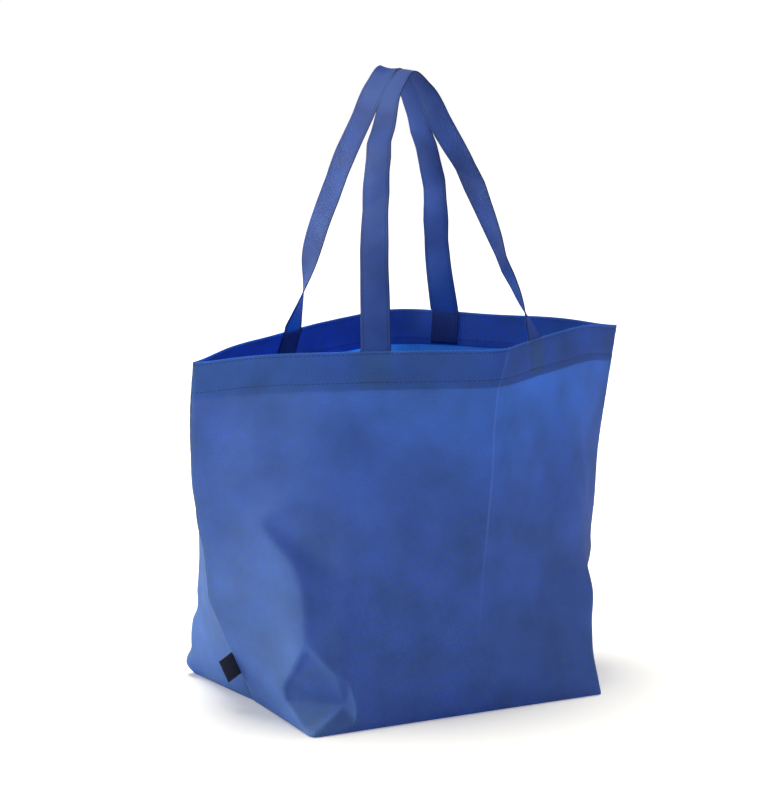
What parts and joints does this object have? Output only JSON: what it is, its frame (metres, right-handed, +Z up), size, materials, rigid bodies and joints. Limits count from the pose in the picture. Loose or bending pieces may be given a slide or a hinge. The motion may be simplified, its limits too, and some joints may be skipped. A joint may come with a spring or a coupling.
{
  "type": "shopping bag",
  "caption": "Open-topped boxed shopping bag of non-woven fabric with a hemmed mouth, carrying handles sewn inside it and a blank side label.",
  "frame": {"origin": "on the ground, in the middle of the bag's flat bottom", "axes": "+Z up, +Y from the front panel to the back panel, +X from the labelled side to the other side"},
  "size_m": [0.4772, 0.2611, 0.6049],
  "materials": {
    "bag_fabric": "matt embossed non-woven polypropylene",
    "handle_fabric": "matt embossed non-woven polypropylene, folded and sewn",
    "label": "plain black woven satin"
  },
  "bodies": {
    "root": {"bag_body": "bag_fabric", "front_handle": "handle_fabric", "back_handle": "handle_fabric", "side_label": "label"}
  },
  "joints": []
}
